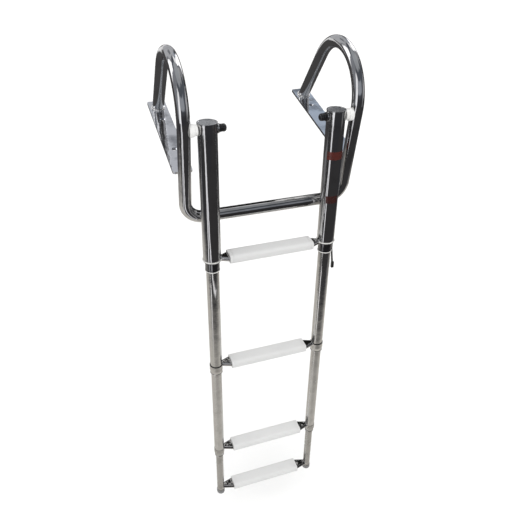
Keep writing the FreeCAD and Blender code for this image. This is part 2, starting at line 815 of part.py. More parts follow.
def bar_sections(body, name, level, tube, inset):
    """The bar's six sections: flat under the tread and rounder where it meets the tubes."""
    flat = S("tread_length") / 2 + S("bar_shoulder")
    end = S("tube_spacing") / 2
    end_depth = smaller(S("bar_end_depth"), tube * 2 * S("bar_end_share"))
    wide = (S("bar_depth"), S("bar_height"))
    narrow = (end_depth, S("bar_end_height"))
    sketches = []
    for i, (along, (depth, height)) in enumerate([
            (-end, narrow), (tube - end, narrow), (-flat, wide),
            (flat, wide), (end - tube, narrow), (end, narrow)]):
        sketch = new_sketch(body, f"{name}_{i}", "YZ_Plane", along)
        add_oval(sketch, level, depth, height, inset)
        sketches.append(sketch)
    return sketches


def step_bar(label, level, tube):
    """A round tube flattened under its tread and coped where it meets each side."""
    body = new_body(label)
    place(body, MIDDLE_X, PIVOT_Y, PIVOT_Z, LEAN)
    for kind, name, inset in (("PartDesign::AdditiveLoft", "outside", as_size(0.0)),
                              ("PartDesign::SubtractiveLoft", "inside", -S("bar_wall"))):
        sections = bar_sections(body, name, level, tube, inset)
        loft = body.newObject(kind, f"{label}_{name}")
        loft.Profile = sections[0]
        loft.Sections = sections[1:]
        loft.Ruled = True
    for side in (-1, 1):
        cut_cylinder(body, "left_cope" if side < 0 else "right_cope", tube,
                     S("bar_height") * CUTTER_REACH,
                     (S("tube_spacing") / 2 * side, 0.0, level), ALONG_Z)


def step_tread(label, level):
    """A moulded plastic sleeve round the bar, with its ends rounded over."""
    body = new_body(label)
    place(body, MIDDLE_X, PIVOT_Y, PIVOT_Z, LEAN)
    outline = new_sketch(body, "outline", "YZ_Plane")
    outline.AttachmentOffset = Placement(Vector(0, level.value, 0), Rotation())
    bind(outline, "AttachmentOffset.Base.y", level)
    add_rounded_rectangle(outline, S("tread_depth"), S("tread_height"), S("tread_corner"))
    pad(body, outline, S("tread_length"), both_ways=True)
    half = S("tread_length").value / 2
    dress_edges(body, "PartDesign::Fillet", "ends", S("tread_end_round"),
                lambda edge: all(abs(abs(corner.X) - half) < CLOSE for corner in edge.Vertexes))
    slot = new_sketch(body, "slot", "YZ_Plane")
    add_oval(slot, level, S("bar_depth"), S("bar_height"), S("tread_fit"))
    cut_through(body, slot)


def foot_cap(label, side):
    """A rounded rubber cap over the end of the innermost tube."""
    body = new_body(label)
    place_on_tube(body, side)
    outer = TUBE_4_R + S("foot_cap_wall")
    top = FOOT + S("foot_cap_height")
    floor = FOOT + S("foot_cap_wall") * 2
    revolve(body, "profile", [
        (TUBE_4_R, top), (outer, top), (outer, FOOT), (0.0, FOOT), (0.0, floor),
        (TUBE_4_R, floor)])
    dress_edges(body, "PartDesign::Fillet", "sole_round", S("foot_cap_round"),
                ring_at(outer, FOOT))


# The strap that ties the collapsed sections, hanging from the right ferrule
def retaining_strap():
    """A moulded strap that leans out from the ferrule's neck to a thick pull tab."""
    body = new_body("retaining_strap")
    place_on_tube(body, 1)
    near = TUBE_2_R + S("slide_clearance") + S("ferrule_1_wall") + S("strap_gap")
    top = RIM_1 - S("ferrule_flange_height") - S("seat_gap")
    foot = top - S("strap_length")
    tab = foot + S("strap_tab_length")
    thin = S("strap_thickness")
    slant = S("strap_slant")
    lip_clear = S("ferrule_1_lip")
    bend = RIM_1 - S("ferrule_1_height") + S("ferrule_lip") * 2
    low = near + lip_clear + slant
    outline = new_sketch(body, "outline", "XZ_Plane")
    add_outline(outline, [
        (near, top), (near + thin, top), (near + lip_clear + thin, bend), (low + thin, tab),
        (low + S("strap_tab_thickness"), tab - thin), (low + S("strap_tab_thickness"), foot),
        (low, foot), (low, tab), (near + lip_clear + S("strap_gap"), bend)])
    pad(body, outline, S("strap_width"), both_ways=True)
    half = S("strap_width").value / 2
    dress_edges(body, "PartDesign::Fillet", "edges", S("strap_round"),
                lambda edge: all(abs(corner.Z - foot.value) < CLOSE for corner in edge.Vertexes)
                and all(abs(abs(corner.Y) - half) < CLOSE for corner in edge.Vertexes))


for name, side in (("left", -1), ("right", 1)):
    handrail(f"{name}_handrail", side)
    deck_plate(f"{name}_deck_plate", side)
    foot_weld(f"{name}_foot_weld", side)
    pivot_set(name, side)
    outer_tube(f"{name}_outer_tube", side)
    top_cap(f"{name}_top_cap", side)
    spigot_ferrule(f"{name}_ferrule_1", side)
    inner_tube(f"{name}_tube_2", side, TUBE_2_R, S("tube_2_wall"),
               RIM_1, RIM_2 - S("ferrule_grip"))
    guide_bush(f"{name}_guide_bush", side)
    socket_ferrule(f"{name}_ferrule_2", side, RIM_2, S("ferrule_2_height"), TUBE_2_R,
                   S("ferrule_2_collar"), TUBE_3_R + S("slide_clearance"))
    inner_tube(f"{name}_tube_3", side, TUBE_3_R, S("tube_3_wall"),
               RIM_2, RIM_3 - S("ferrule_grip"))
    ferrule_3 = socket_ferrule(f"{name}_ferrule_3", side, RIM_3, S("ferrule_3_height"),
                               TUBE_3_R, S("ferrule_3_collar"),
                               TUBE_4_R + S("slide_clearance"))
    punch_marks(ferrule_3, RIM_3, TUBE_3_R + S("ferrule_3_collar"))
    inner_tube(f"{name}_tube_4", side, TUBE_4_R, S("tube_4_wall"),
               RIM_3 + S("last_step_extra"), FOOT + S("foot_cap_wall") * 2,
               TUBE_3_R - S("tube_3_wall") - S("slide_clearance"))
    foot_cap(f"{name}_foot_cap", side)

crossbar()
STEPS = ((1, STEP_1, TUBE_1_R + S("ferrule_flange")),
         (2, STEP_2, TUBE_2_R + S("ferrule_2_collar")),
         (3, STEP_3, TUBE_3_R + S("ferrule_3_collar")), (4, STEP_4, TUBE_4_R))
for number, level, coping in STEPS:
    step_bar(f"step_{number}_bar", level, coping)
    step_tread(f"step_{number}_tread", level)
retaining_strap()

doc.recompute()
for item in doc.Objects:
    if "Invalid" in item.State or "Error" in item.State:
        raise RuntimeError(f"{item.Label} did not compute: {item.State}")

os.makedirs("parts", exist_ok=True)
for node in nodes:
    if node.Shape.isNull() or not node.Shape.isValid():
        raise RuntimeError(f"{node.Label} has no valid shape")
for node in nodes:
    node.Shape.exportStep(f"parts/{node.Label}.step")
print(len(nodes), "nodes written, lean", round(LEAN.value, 2))
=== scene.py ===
import bpy
import math
from mathutils import Matrix, Vector


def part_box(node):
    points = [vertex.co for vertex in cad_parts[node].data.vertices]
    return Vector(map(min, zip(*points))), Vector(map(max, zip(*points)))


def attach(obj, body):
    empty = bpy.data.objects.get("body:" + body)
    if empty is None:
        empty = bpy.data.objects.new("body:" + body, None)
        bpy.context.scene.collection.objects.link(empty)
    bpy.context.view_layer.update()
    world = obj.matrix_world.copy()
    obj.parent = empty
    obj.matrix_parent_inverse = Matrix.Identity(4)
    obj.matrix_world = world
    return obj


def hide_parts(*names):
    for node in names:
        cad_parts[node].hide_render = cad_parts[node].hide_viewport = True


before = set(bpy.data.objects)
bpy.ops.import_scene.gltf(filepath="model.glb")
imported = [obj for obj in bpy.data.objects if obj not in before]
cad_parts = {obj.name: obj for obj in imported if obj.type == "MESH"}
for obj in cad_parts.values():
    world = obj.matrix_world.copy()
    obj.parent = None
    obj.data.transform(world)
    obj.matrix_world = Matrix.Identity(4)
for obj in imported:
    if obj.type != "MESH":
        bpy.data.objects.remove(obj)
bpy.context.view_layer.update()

# The view, from above and to the left of the ladder as it hangs, with the handrails nearest.
# The camera stands nearly a metre in front of the handrails and looks down along the ladder.
CAMERA_PLACE = Vector((-0.19859, -0.99541, 0.65982))
CAMERA_FORWARD = Vector((0.281663, 0.653821, -0.702271))
CAMERA_UP = Vector((0.164693, 0.688098, 0.706680))
CAMERA_FOCAL = 39.235
CAMERA_SENSOR = 36.0
CAMERA_CLIP = (0.01, 60.0)

camera = bpy.data.objects.new("camera", bpy.data.cameras.new("camera"))
bpy.context.scene.collection.objects.link(camera)
camera.data.sensor_width = CAMERA_SENSOR
camera.data.lens = CAMERA_FOCAL
camera.data.clip_start, camera.data.clip_end = CAMERA_CLIP
right = CAMERA_FORWARD.cross(CAMERA_UP).normalized()
upright = right.cross(CAMERA_FORWARD).normalized()
turn = Matrix((right, upright, -CAMERA_FORWARD)).transposed()
camera.matrix_world = Matrix.Translation(CAMERA_PLACE) @ turn.to_4x4()
bpy.context.scene.camera = camera
bpy.context.scene.view_settings.view_transform = "Standard"

# The studio: a pale matt floor below the fully drawn ladder, a wide soft light above and a
# pale room. What polished steel mirrors is a dim workshop with a lit floor round the
# ladder, many lit panels and a lit ceiling.
FLOOR_LEVEL = -1.085
FLOOR_HALF = 14.0
FLOOR_COLOUR = (0.93, 0.93, 0.925, 1.0)
FLOOR_ROUGHNESS = 0.9
LIGHT_PLACE = (-0.7, -0.75, 3.0)
LIGHT_AIM = Vector((0.2, -0.2, -0.4))
LIGHT_STRENGTH = 1.55
LIGHT_SPREAD = math.radians(70.0)
ROOM_BRIGHTNESS = 0.74
WHITE = (1.0, 1.0, 1.0, 1.0)

bpy.ops.object.select_all(action="DESELECT")
bpy.ops.mesh.primitive_plane_add(size=FLOOR_HALF * 2, location=(0.0, 0.0, FLOOR_LEVEL))
floor = bpy.context.object
floor.name = "studio_floor"
floor.visible_glossy = False
floor_paint = bpy.data.materials.new("floor_paint")
floor_paint.use_nodes = True
floor_shader = floor_paint.node_tree.nodes["Principled BSDF"]
floor_shader.inputs["Base Color"].default_value = FLOOR_COLOUR
floor_shader.inputs["Roughness"].default_value = FLOOR_ROUGHNESS
floor.data.materials.append(floor_paint)

soft_light = bpy.data.lights.new("overhead_light", "SUN")
soft_light.energy = LIGHT_STRENGTH
soft_light.angle = LIGHT_SPREAD
overhead = bpy.data.objects.new("overhead_light", soft_light)
bpy.context.scene.collection.objects.link(overhead)
overhead.location = LIGHT_PLACE
overhead.rotation_mode = "QUATERNION"
overhead.rotation_quaternion = (LIGHT_AIM - overhead.location).to_track_quat("-Z", "Y")
overhead.visible_glossy = False

room = bpy.data.worlds.new("studio_room")
bpy.context.scene.world = room
room.use_nodes = True
air = room.node_tree
air.nodes.clear()


def sum_of(tree, kind, first, *others):
    """One Math node on sockets or plain numbers."""
    node = tree.nodes.new("ShaderNodeMath")
    node.operation = kind
    for place, value in enumerate((first, *others)):
        if isinstance(value, (int, float)):
            node.inputs[place].default_value = value
        else:
            tree.links.new(value, node.inputs[place])
    return node.outputs[0]


def step_between(tree, value, low, high):
    """A smooth change from 0 at one value to 1 at another."""
    change = tree.nodes.new("ShaderNodeMapRange")
    change.interpolation_type = "SMOOTHSTEP"
    change.inputs["From Min"].default_value = low
    change.inputs["From Max"].default_value = high
    tree.links.new(value, change.inputs["Value"])
    return change.outputs[0]


def blend_by(tree, mask, first, second):
    """Mix two colours, plain or from sockets, by a mask."""
    mix = tree.nodes.new("ShaderNodeMix")
    mix.data_type = "RGBA"
    tree.links.new(mask, mix.inputs[0])
    for socket, colour in ((mix.inputs[6], first), (mix.inputs[7], second)):
        if isinstance(colour, tuple):
            socket.default_value = colour if len(colour) == 4 else (*colour, 1.0)
        else:
            tree.links.new(colour, socket)
    return mix.outputs[2]


def soft_window(tree, value, middle, half, edge, wraps):
    """1 within a half width of the middle, falling to 0 over the edge."""
    away = sum_of(tree, "SUBTRACT", value, middle)
    if wraps:
        away = sum_of(tree, "WRAP", away, 180.0, -180.0)
    return step_between(tree, sum_of(tree, "ABSOLUTE", away), half + edge, half)


DEGREES = math.degrees(1.0)
way = air.nodes.new("ShaderNodeTexCoord")
split = air.nodes.new("ShaderNodeSeparateXYZ")
air.links.new(way.outputs["Generated"], split.inputs[0])
turn_round = sum_of(air, "ARCTAN2", split.outputs[1], split.outputs[0])
azimuth = sum_of(air, "MULTIPLY", turn_round, DEGREES)
elevation = sum_of(air, "MULTIPLY", sum_of(air, "ARCSINE", split.outputs[2]), DEGREES)

# Above the dark middle the walls grow lighter, and below it lies the lit floor, which
# reaches farther out in front of the ladder than behind it.
WORKSHOP_DIM = (0.040, 0.040, 0.045)
WALLS_DIM = (0.10, 0.11, 0.13)
WALLS_RISE = (2.0, 24.0)
FLOOR_GLOW = (0.64, 0.62, 0.585)
FLOOR_EDGE = (-27.0, -39.0)
FLOOR_TILT = 6.0
tilted = sum_of(air, "MULTIPLY_ADD", split.outputs[1], FLOOR_TILT, elevation)
mirrored = blend_by(air, step_between(air, elevation, *WALLS_RISE), WORKSHOP_DIM, WALLS_DIM)
mirrored = blend_by(air, step_between(air, tilted, *FLOOR_EDGE), mirrored, FLOOR_GLOW)

# Each lit panel has a middle, half width and soft edge round the room, the same upwards, in
# degrees, and a colour.
PANELS = (
    ((0.0, 180.0, 1.0), (90.0, 24.0, 7.0), (0.40, 0.42, 0.45)),
    ((-90.0, 30.0, 15.0), (30.0, 9.0, 7.0), (0.34, 0.36, 0.40)),
    ((180.0, 18.0, 14.0), (25.0, 30.0, 12.0), (0.27, 0.28, 0.31)),
    ((-145.0, 11.0, 7.0), (14.0, 26.0, 9.0), (1.15, 1.16, 1.20)),
    ((-136.0, 2.0, 5.0), (-6.0, 20.0, 8.0), (1.40, 1.40, 1.46)),
    ((-32.0, 6.0, 6.0), (-8.0, 16.0, 8.0), (0.20, 0.20, 0.21)),
    ((-10.0, 12.0, 8.0), (7.0, 9.0, 6.0), (0.50, 0.50, 0.52)),
    ((155.0, 10.0, 12.0), (-16.0, 12.0, 8.0), (0.22, 0.22, 0.23)),
    ((112.0, 8.0, 8.0), (-15.0, 12.0, 6.0), (0.75, 0.75, 0.75)),
    ((143.0, 9.0, 7.0), (26.0, 17.0, 7.0), (1.90, 1.91, 1.95)),
    ((95.0, 27.0, 8.0), (20.0, 22.0, 8.0), (0.52, 0.53, 0.56)),
    ((100.0, 6.0, 5.0), (31.0, 5.0, 5.0), (0.22, 0.23, 0.25)),
    ((20.0, 7.0, 5.0), (38.0, 16.0, 6.0), (0.33, 0.33, 0.35)),
    ((0.0, 26.0, 8.0), (60.0, 8.0, 5.0), (0.44, 0.45, 0.47)),
    ((45.0, 8.0, 6.0), (28.0, 24.0, 6.0), (2.00, 2.00, 2.05)),
    ((66.0, 14.0, 7.0), (54.0, 6.0, 4.0), (1.15, 1.15, 1.18)),
    ((61.0, 5.0, 5.0), (33.0, 4.0, 3.0), (0.42, 0.48, 0.57)),
)
for round_window, up_window, panel_colour in PANELS:
    panel = sum_of(air, "MULTIPLY", soft_window(air, azimuth, *round_window, True),
                   soft_window(air, elevation, *up_window, False))
    mirrored = blend_by(air, panel, mirrored, panel_colour)

mirror_view = air.nodes.new("ShaderNodeBackground")
air.links.new(mirrored, mirror_view.inputs["Color"])
room_light = air.nodes.new("ShaderNodeBackground")
room_light.inputs["Color"].default_value = WHITE
room_light.inputs["Strength"].default_value = ROOM_BRIGHTNESS
backdrop = air.nodes.new("ShaderNodeBackground")
backdrop.inputs["Color"].default_value = WHITE
rays = air.nodes.new("ShaderNodeLightPath")
lit = air.nodes.new("ShaderNodeMixShader")
air.links.new(rays.outputs["Is Glossy Ray"], lit.inputs[0])
air.links.new(room_light.outputs[0], lit.inputs[1])
air.links.new(mirror_view.outputs[0], lit.inputs[2])
seen = air.nodes.new("ShaderNodeMixShader")
air.links.new(rays.outputs["Is Camera Ray"], seen.inputs[0])
air.links.new(lit.outputs[0], seen.inputs[1])
air.links.new(backdrop.outputs[0], seen.inputs[2])
world_out = air.nodes.new("ShaderNodeOutputWorld")
air.links.new(seen.outputs[0], world_out.inputs[0])

# A dark deck behind the ladder, met only by reflections: the rear legs mirror its dark top,
# where a lit strip lies far behind each handrail, and the step bars mirror its underside,
# which has pale patches of light on it.
DECK_MIDDLE = (0.17, 1.89, -0.02)
DECK_HALF = (2.0, 2.0, 1.0)
DECK_DARK = (0.075, 0.073, 0.075)
DECK_STRIP_STARTS = ((0.0, 0.0), (0.351, 0.0))
DECK_STRIP_WINDOW = (99.0, 5.0, 5.0)
DECK_STRIP_FADE = (0.40, 0.55)
DECK_STRIP_GLOW = (0.90, 0.90, 0.91)
UNDER_DARK = (0.012, 0.012, 0.012)
UNDER_PALE = (1.10, 1.10, 1.10)
UNDER_PATCH_SCALE = 5.0
UNDER_PATCH_DETAIL = 1.0
UNDER_PATCH_EDGE = (0.585, 0.625)


def mirrored_board(name, middle, half):
    """A flat board that only reflections meet, with its own glowing paint."""
    bpy.ops.object.select_all(action="DESELECT")
    bpy.ops.mesh.primitive_plane_add(size=2.0, location=middle)
    board = bpy.context.object
    board.name = name
    board.scale = half
    bpy.ops.object.transform_apply(location=True, rotation=True, scale=True)
    board.visible_camera = False
    board.visible_diffuse = False
    board.visible_shadow = False
    paint = bpy.data.materials.new(f"{name}_paint")
    paint.use_nodes = True
    paint.node_tree.nodes.clear()
    board.data.materials.append(paint)
    return board


def place_on(tree):
    """The place on a board, whole and split into its three directions."""
    place = tree.nodes.new("ShaderNodeTexCoord").outputs["Object"]
    axes = tree.nodes.new("ShaderNodeSeparateXYZ")
    tree.links.new(place, axes.inputs[0])
    return place, axes.outputs


def strip_from(tree, axes, start, window):
    """A mask for a strip that runs over a board from one point, towards one angle."""
    sideways = sum_of(tree, "SUBTRACT", axes[0], start[0])
    backwards = sum_of(tree, "SUBTRACT", axes[1], start[1])
    angle = sum_of(tree, "ARCTAN2", backwards, sideways)
    return soft_window(tree, sum_of(tree, "MULTIPLY", angle, DEGREES), *window, True)


def let_glow(tree, colour):
    """End a board's paint with a light of this colour."""
    glow = tree.nodes.new("ShaderNodeEmission")
    tree.links.new(colour, glow.inputs["Color"])
    out = tree.nodes.new("ShaderNodeOutputMaterial")
    tree.links.new(glow.outputs[0], out.inputs[0])


deck = mirrored_board("dark_deck", DECK_MIDDLE, DECK_HALF)
planks = deck.data.materials[0].node_tree
deck_place, deck_axes = place_on(planks)
light_patches = planks.nodes.new("ShaderNodeTexNoise")
light_patches.inputs["Scale"].default_value = UNDER_PATCH_SCALE
light_patches.inputs["Detail"].default_value = UNDER_PATCH_DETAIL
planks.links.new(deck_place, light_patches.inputs["Vector"])
patch = step_between(planks, light_patches.outputs["Fac"], *UNDER_PATCH_EDGE)
underside = blend_by(planks, patch, UNDER_DARK, UNDER_PALE)
far_back = step_between(planks, deck_axes[1], *DECK_STRIP_FADE)
deck_top = DECK_DARK
for start in DECK_STRIP_STARTS:
    strip = strip_from(planks, deck_axes, start, DECK_STRIP_WINDOW)
    deck_top = blend_by(planks, sum_of(planks, "MULTIPLY", strip, far_back), deck_top,
                        DECK_STRIP_GLOW)
side_met = planks.nodes.new("ShaderNodeNewGeometry")
let_glow(planks, blend_by(planks, side_met.outputs["Backfacing"], deck_top, underside))

# A dark bench in front of the ladder, also met only by reflections: the front legs mirror
# it. A lit strip runs over it from each outer tube, where that tube mirrors the lit panel.
BENCH_MIDDLE = (0.17, -1.35, -0.31)
BENCH_HALF = (1.8, 1.0, 1.0)
BENCH_DARK = (0.045, 0.044, 0.046)
BENCH_STRIP_STARTS = ((0.0445, -0.185), (0.3065, -0.185))
BENCH_STRIP_WINDOW = (-138.0, 2.0, 4.5)
BENCH_STRIP_GLOW = (1.10, 1.10, 1.15)

bench = mirrored_board("dark_bench", BENCH_MIDDLE, BENCH_HALF)
boards = bench.data.materials[0].node_tree
bench_axes = place_on(boards)[1]
bench_top = BENCH_DARK
for start in BENCH_STRIP_STARTS:
    strip = strip_from(boards, bench_axes, start, BENCH_STRIP_WINDOW)
    bench_top = blend_by(boards, strip, bench_top, BENCH_STRIP_GLOW)
let_glow(boards, bench_top)

# Handrails and crossbar: one bent stainless tube a side and a straight one between them.
# They are buffed to a mirror, with faint buffing lines along the tube and a few smudges. The
# crossbar's steel is painted darker: painted shade for the darker reflection it shows.
RAIL_STEEL = (0.66, 0.655, 0.65, 1.0)
RAIL_SMUDGED = (0.55, 0.545, 0.54, 1.0)
CROSSBAR_SHADED_STEEL = (0.47, 0.465, 0.46, 1.0)
CROSSBAR_SHADED_SMUDGE = (0.38, 0.375, 0.37, 1.0)
SMUDGE_AND_REFLECTION_EDGE = (0.46, 0.74)
SMUDGE_AND_REFLECTION_DETAIL = 3.0
LINE_DETAIL = 2.0
LINE_STRETCH = (1.0, 1.0, 0.04)
LINE_HEIGHT = 0.01
LINE_HAZE = 0.25
POLISH_RELIEF = 0.002


def make_polish_marks():
    """Colour, roughness and height of polished metal, with buffing lines and tinted patches."""
    tree = bpy.data.node_groups.new("polish_marks", "ShaderNodeTree")
    for name, kind in (("Clean", "NodeSocketColor"), ("Smudge And Reflection Tint", "NodeSocketColor"),
                       ("Gloss", "NodeSocketFloat"), ("Haze", "NodeSocketFloat"),
                       ("Smudge And Reflection Scale", "NodeSocketFloat"), ("Line Scale", "NodeSocketFloat"),
                       ("Place", "NodeSocketVector")):
        tree.interface.new_socket(name, in_out="INPUT", socket_type=kind)
    for name, kind in (("Color", "NodeSocketColor"), ("Roughness", "NodeSocketFloat"),
                       ("Height", "NodeSocketFloat")):
        tree.interface.new_socket(name, in_out="OUTPUT", socket_type=kind)
    source = tree.nodes.new("NodeGroupInput")
    sink = tree.nodes.new("NodeGroupOutput")
    smudges = tree.nodes.new("ShaderNodeTexNoise")
    smudges.inputs["Detail"].default_value = SMUDGE_AND_REFLECTION_DETAIL
    tree.links.new(source.outputs["Place"], smudges.inputs["Vector"])
    tree.links.new(source.outputs["Smudge And Reflection Scale"], smudges.inputs["Scale"])
    # Patches of the second tint: smudges on most steels, and a painted reflection on the deck
    # plates.
    patch = step_between(tree, smudges.outputs["Fac"], *SMUDGE_AND_REFLECTION_EDGE)
    stretch = tree.nodes.new("ShaderNodeMapping")
    stretch.inputs["Scale"].default_value = LINE_STRETCH
    tree.links.new(source.outputs["Place"], stretch.inputs["Vector"])
    lines = tree.nodes.new("ShaderNodeTexNoise")
    lines.inputs["Detail"].default_value = LINE_DETAIL
    tree.links.new(stretch.outputs[0], lines.inputs["Vector"])
    tree.links.new(source.outputs["Line Scale"], lines.inputs["Scale"])
    height = sum_of(tree, "MULTIPLY_ADD", lines.outputs["Fac"], LINE_HEIGHT,
                    smudges.outputs["Fac"])
    tree.links.new(height, sink.inputs["Height"])
    tint = blend_by(tree, patch, source.outputs["Clean"], source.outputs["Smudge And Reflection Tint"])
    tree.links.new(tint, sink.inputs["Color"])
    both = sum_of(tree, "MULTIPLY_ADD", lines.outputs["Fac"], LINE_HAZE, patch)
    rough = sum_of(tree, "MULTIPLY_ADD", both, source.outputs["Haze"], source.outputs["Gloss"])
    tree.links.new(rough, sink.inputs["Roughness"])
    return tree


polish_marks = make_polish_marks()


def make_steel(name, clean, smudge_and_reflection_tint, gloss, haze, smudge_and_reflection_scale, line_scale, bump, lean=0.0):
    """Stainless steel, its buffing lines laid along tubes that lean this many degrees."""
    steel = bpy.data.materials.new(name)
    steel.use_nodes = True
    tree = steel.node_tree
    shader = tree.nodes["Principled BSDF"]
    shader.inputs["Metallic"].default_value = 1.0
    place = tree.nodes.new("ShaderNodeTexCoord")
    turned = tree.nodes.new("ShaderNodeMapping")
    turned.inputs["Rotation"].default_value = (math.radians(lean), 0.0, 0.0)
    tree.links.new(place.outputs["Object"], turned.inputs["Vector"])
    marks = tree.nodes.new("ShaderNodeGroup")
    marks.node_tree = polish_marks
    for socket, value in (("Clean", clean), ("Smudge And Reflection Tint", smudge_and_reflection_tint), ("Gloss", gloss),
                          ("Haze", haze), ("Smudge And Reflection Scale", smudge_and_reflection_scale),
                          ("Line Scale", line_scale)):
        marks.inputs[socket].default_value = value
    tree.links.new(turned.outputs[0], marks.inputs["Place"])
    tree.links.new(marks.outputs["Color"], shader.inputs["Base Color"])
    tree.links.new(marks.outputs["Roughness"], shader.inputs["Roughness"])
    relief = tree.nodes.new("ShaderNodeBump")
    relief.inputs["Strength"].default_value = bump
    relief.inputs["Distance"].default_value = POLISH_RELIEF
    tree.links.new(marks.outputs["Height"], relief.inputs["Height"])
    tree.links.new(relief.outputs["Normal"], shader.inputs["Normal"])
    return steel


def dress(material, *names):
    """Give CAD nodes their finish."""
    for name in names:
        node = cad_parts[name]
        if not node.material_slots:
            node.data.materials.append(material)
        for slot in node.material_slots:
            slot.material = material


rail_steel = make_steel("rail_steel", clean=RAIL_STEEL, smudge_and_reflection_tint=RAIL_SMUDGED, gloss=0.05,
                        haze=0.07, smudge_and_reflection_scale=24.0, line_scale=700.0, bump=0.40)
dress(rail_steel, "left_handrail", "right_handrail")
crossbar_steel = make_steel("crossbar_steel", clean=CROSSBAR_SHADED_STEEL,
                            smudge_and_reflection_tint=CROSSBAR_SHADED_SMUDGE, gloss=0.04, haze=0.06,
                            smudge_and_reflection_scale=24.0, line_scale=700.0, bump=0.40)
dress(crossbar_steel, "crossbar")

# Deck plates: flat stainless bar with rounded corners and countersunk screw holes. Their mirror
# is wavy, and their colour, light with dark blotches, is a painted reflection of the room.
PLATE_STEEL = (0.78, 0.79, 0.81, 1.0)
PLATE_PAINTED_REFLECTION = (0.30, 0.31, 0.33, 1.0)
plate_steel = make_steel("plate_steel", clean=PLATE_STEEL, smudge_and_reflection_tint=PLATE_PAINTED_REFLECTION,
                         gloss=0.06, haze=0.12, smudge_and_reflection_scale=19.0, line_scale=400.0,
                         bump=0.5)
dress(plate_steel, "left_deck_plate", "right_deck_plate")

# Welds: a bead laid by hand round each rear leg where it stands on its plate, and a short
# one where the plate's near end meets the front leg. They are brushed but still lumpy.
WELD_STEEL = (0.95, 0.94, 0.92, 1.0)
WELD_TINTED = (0.42, 0.39, 0.36, 1.0)
PLATE_TOP = 0.005
REAR_FOOT = 0.10596
REAR_LEG_LEAN = math.radians(24.08)
LEG_RADIUS = 0.0127
WELD_BEAD = 0.0024
WELD_SPREAD = 0.0012
WELD_RISE = 0.0012
FRONT_WELD = (0.0078, 0.0024, 0.0022)
FRONT_WELD_PLACE = -0.1346
WELD_LUMP_SIZE = 0.0034
LUMP_MIDDLE = 0.5
FOOT_LUMPS = 0.0020
FOOT_LUMP_MIDDLE = 0.45
FRONT_LUMPS = 0.0012
WELD_CREASE = 60.0
SOFT_CREASE = 40.0
MERGE_WITHIN = 0.00002
RING_STEPS = 40
BEAD_STEPS = 3
PLATES = {"left": 0.0, "right": 0.351}

weld_steel = make_steel("weld_steel", clean=WELD_STEEL, smudge_and_reflection_tint=WELD_TINTED, gloss=0.14,
                        haze=0.16, smudge_and_reflection_scale=160.0, line_scale=300.0, bump=0.3)
weld_lumps = bpy.data.textures.new("weld_lumps", "CLOUDS")
weld_lumps.noise_scale = WELD_LUMP_SIZE
weld_lumps.noise_depth = 1


def finish(piece, name, material, body, crease=SOFT_CREASE):
    """Put a piece's place into its mesh, face it outwards, smooth, dress and carry it."""
    bpy.ops.object.select_all(action="DESELECT")
    piece.select_set(True)
    bpy.context.view_layer.objects.active = piece
    bpy.ops.object.transform_apply(location=True, rotation=True, scale=True)
    bpy.ops.object.mode_set(mode="EDIT")
    bpy.ops.mesh.select_all(action="SELECT")
    bpy.ops.mesh.remove_doubles(threshold=MERGE_WITHIN)
    bpy.ops.mesh.normals_make_consistent(inside=False)
    bpy.ops.object.mode_set(mode="OBJECT")
    bpy.ops.object.shade_smooth_by_angle(angle=math.radians(crease))
    piece.name = name
    piece.data.materials.clear()
    piece.data.materials.append(material)
    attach(piece, body)


def bake_modifier(piece, kind, **settings):
    """Add one modifier and apply it."""
    modifier = piece.modifiers.new(kind.title(), kind)
    for name, value in settings.items():
        setattr(modifier, name, value)
    bpy.context.view_layer.objects.active = piece
    bpy.ops.object.modifier_apply(modifier=modifier.name)


def bead_ring(across, along, thickness):
    """An oval ring of weld, lying flat round the origin, as a mesh."""
    bpy.ops.object.select_all(action="DESELECT")
    bpy.ops.curve.primitive_bezier_circle_add(radius=1.0)
    ring = bpy.context.object
    ring.scale = (across, along, 1.0)
    bpy.ops.object.transform_apply(location=False, rotation=False, scale=True)
    ring.data.resolution_u = RING_STEPS
    ring.data.bevel_depth = thickness
    ring.data.bevel_resolution = BEAD_STEPS
    bpy.ops.object.convert(target="MESH")
    return bpy.context.object


for side, plate_x in PLATES.items():
    foot_bead = bead_ring(LEG_RADIUS + WELD_SPREAD,
                          LEG_RADIUS / math.cos(REAR_LEG_LEAN) + WELD_SPREAD, WELD_BEAD)
    bake_modifier(foot_bead, "DISPLACE", texture=weld_lumps, strength=FOOT_LUMPS,
                  mid_level=FOOT_LUMP_MIDDLE)
    foot_bead.location = (plate_x, REAR_FOOT, PLATE_TOP + WELD_RISE)
    finish(foot_bead, f"{side}_foot_bead", weld_steel, "handrail_frame", WELD_CREASE)
    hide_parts(f"{side}_foot_weld")

    bpy.ops.object.select_all(action="DESELECT")
    bpy.ops.mesh.primitive_ico_sphere_add(subdivisions=4, radius=1.0)
    end_bead = bpy.context.object
    end_bead.scale = FRONT_WELD
    bpy.ops.object.transform_apply(location=False, rotation=False, scale=True)
    bake_modifier(end_bead, "DISPLACE", texture=weld_lumps, strength=FRONT_LUMPS,
                  mid_level=LUMP_MIDDLE)
    end_bead.location = (plate_x, FRONT_WELD_PLACE, PLATE_TOP)
    finish(end_bead, f"{side}_end_bead", weld_steel, "handrail_frame", WELD_CREASE)

# Pivots: a steel pin welded into each front leg, a white plastic bush between leg and tube,
# and a bright washer under a black domed cap nut on the inner side. The guide bush inside
# each outer tube is of the same black plastic.
pivot_steel = make_steel("pivot_steel", clean=(0.80, 0.79, 0.78, 1.0),
                         smudge_and_reflection_tint=(0.68, 0.67, 0.66, 1.0), gloss=0.14, haze=0.10,
                         smudge_and_reflection_scale=90.0, line_scale=600.0, bump=0.1)
dress(pivot_steel, "left_pivot_pin", "right_pivot_pin", "left_pivot_washer",
      "right_pivot_washer")

WORN_EDGE = (0.45, 0.75)
WORN_DETAIL = 4.0
MOULDING_RELIEF = 0.0003


